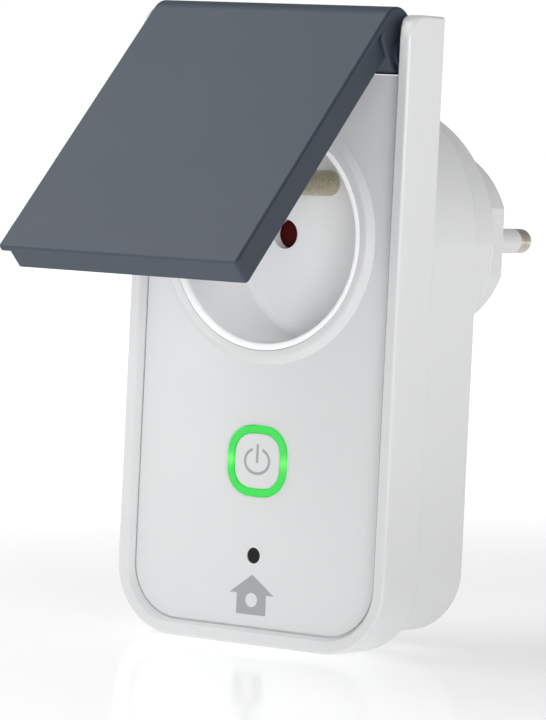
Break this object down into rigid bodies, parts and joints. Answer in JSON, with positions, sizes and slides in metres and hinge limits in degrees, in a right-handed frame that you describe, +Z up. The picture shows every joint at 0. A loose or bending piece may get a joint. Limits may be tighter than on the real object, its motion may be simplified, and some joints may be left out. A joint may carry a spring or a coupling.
{
  "type": "smart plug",
  "caption": "Plug-in switched socket with a hinged grey weather lid held open, a lit round-cornered power button, a pin-earth socket in front and a two-pin plug behind.",
  "frame": {"origin": "centre of the plug's face, on the axis of plug and socket, midway between the two plug pins", "axes": "+Y along the plug pins into the wall, +Z up, +X to the right of a person who faces the socket; the front with the button faces -Y"},
  "size_m": [0.06, 0.1191, 0.1175],
  "materials": {
    "white_shell": "moulded, fine gloss",
    "white_button": "satin moulded cap",
    "white_sleeve": "moulded sleeve",
    "slate_lid": "fine spark texture",
    "black_rubber": "matte rubber",
    "nickel": "nickel plate",
    "earth_nickel": "worn nickel over brass",
    "steel": "zinc plated",
    "red_shutter": "red moulding",
    "carrier_plastic": "thermoset moulding",
    "brass_contact": "spring brass",
    "copper_strip": "bare copper",
    "green_light": "lit light guide",
    "dark_window": "dark tinted",
    "grey_print": "printed foil",
    "board_green": "solder mask",
    "black_component": "moulded component",
    "led_lens": "clear lens",
    "transformer_core": "ferrite and tape",
    "capacitor_sleeve": "shrink sleeve",
    "yellow_component": "epoxy box",
    "blue_component": "epoxy dip",
    "fuse_ceramic": "ceramic body"
  },
  "bodies": {
    "housing": {"front_cover": "white_shell", "rear_housing": "white_shell", "plug_insert": "white_shell", "socket_insert": "white_shell", "line_pin_sleeve": "white_sleeve", "neutral_pin_sleeve": "white_sleeve", "housing_seal": "black_rubber", "socket_seal": "black_rubber", "line_pin": "nickel", "neutral_pin": "nickel", "socket_earth_pin": "earth_nickel", "plug_earth_strap": "earth_nickel", "plug_earth_contact": "earth_nickel", "hinge_pin": "steel", "housing_screws": "steel", "board_screws": "steel", "shutter_spring": "steel", "radio_shield": "steel", "contact_carrier": "carrier_plastic", "line_contact": "brass_contact", "neutral_contact": "brass_contact", "board_header": "brass_contact", "line_busbar": "copper_strip", "switched_busbar": "copper_strip", "neutral_busbar": "copper_strip", "light_ring": "green_light", "sensor_window": "dark_window", "emblem": "grey_print", "main_board": "board_green", "control_board": "board_green", "radio_module": "board_green", "tact_switch": "black_component", "light_sensor": "black_component", "relay": "black_component", "ring_leds": "led_lens", "transformer": "transformer_core", "filter_capacitor": "capacitor_sleeve", "safety_capacitor": "yellow_component", "varistor": "blue_component", "fuse": "fuse_ceramic"},
    "lid": {"lid": "slate_lid", "lid_gasket": "black_rubber"},
    "power_button": {"power_button": "white_button", "switch_plunger": "black_component"},
    "shutter": {"shutter": "red_shutter"}
  },
  "joints": [
    {"name": "lid_hinge", "type": "hinge", "parent": "housing", "child": "lid", "pos_m": [0, -0.0525, 0.0342], "axis": [-1, 0, 0], "range_deg": [-44, 61]},
    {"name": "button_press", "type": "slide", "parent": "housing", "child": "power_button", "axis": [0, 1, 0], "range_m": [0, 0.0004], "stiffness_N_per_m": 1500},
    {"name": "shutter_turn", "type": "hinge", "parent": "housing", "child": "shutter", "pos_m": [0, -0.0318, 0], "axis": [0, 1, 0], "range_deg": [0, 39], "stiffness_Nm_per_rad": 0.02}
  ]
}
